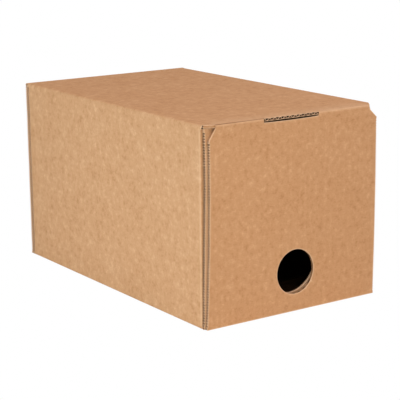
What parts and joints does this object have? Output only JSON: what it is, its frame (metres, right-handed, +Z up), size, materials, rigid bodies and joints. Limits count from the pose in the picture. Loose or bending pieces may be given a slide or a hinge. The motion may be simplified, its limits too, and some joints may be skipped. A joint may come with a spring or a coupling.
{
  "type": "bag-in-box carton",
  "caption": "Folded corrugated carton for a liquid bag, lying on its long side, with a hinged front flap and a round tap hole low on the front.",
  "frame": {"origin": "middle of the bottom panel's underside, on the floor", "axes": "+Z up, +Y from the front flap towards the closed rear end, +X to the right as seen from the front"},
  "size_m": [0.205, 0.342, 0.192],
  "materials": {
    "kraft_board": "matte brown kraft liner"
  },
  "bodies": {
    "carton": {"carton_body": "kraft_board"},
    "flap": {"front_flap": "kraft_board"}
  },
  "joints": [
    {"name": "front_flap_hinge", "type": "hinge", "parent": "carton", "child": "flap", "pos_m": [0, -0.1695, 0.1905], "axis": [-1, 0, 0], "range_deg": [0, 175]}
  ]
}
